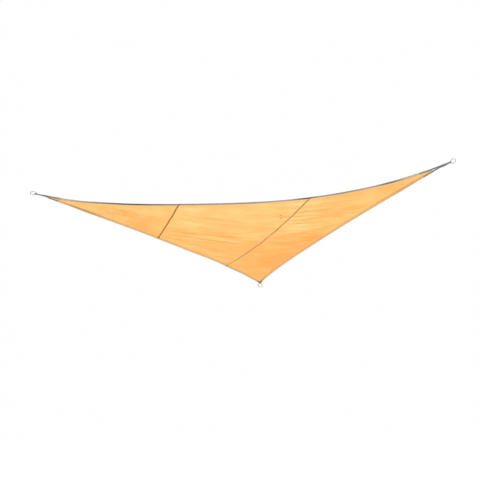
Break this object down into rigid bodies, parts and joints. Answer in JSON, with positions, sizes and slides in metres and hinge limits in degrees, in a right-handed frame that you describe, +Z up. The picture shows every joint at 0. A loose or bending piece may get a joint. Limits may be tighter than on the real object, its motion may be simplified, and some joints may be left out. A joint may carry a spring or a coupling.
{
  "type": "triangular shade sail",
  "caption": "Hung triangular shade sail of lapped knitted cloth panels with hollowed hemmed edges, and a webbing strap and steel ring at each corner.",
  "frame": {"origin": "centre of the left ring, which a post, wall or rope left out holds", "axes": "+X level from the left ring towards the right ring, +Y across the sail towards the far ring, +Z up"},
  "size_m": [5.0535, 4.204, 0.9595],
  "materials": {
    "shade_cloth": "matt knitted shade cloth that lets some light through",
    "webbing": "matt woven webbing",
    "steel": "satin"
  },
  "bodies": {
    "root": {"panel_left": "shade_cloth", "panel_middle": "shade_cloth", "panel_right": "shade_cloth", "strap_left": "webbing", "strap_right": "webbing", "strap_far": "webbing", "ring_left": "steel", "ring_right": "steel", "ring_far": "steel"}
  },
  "joints": []
}
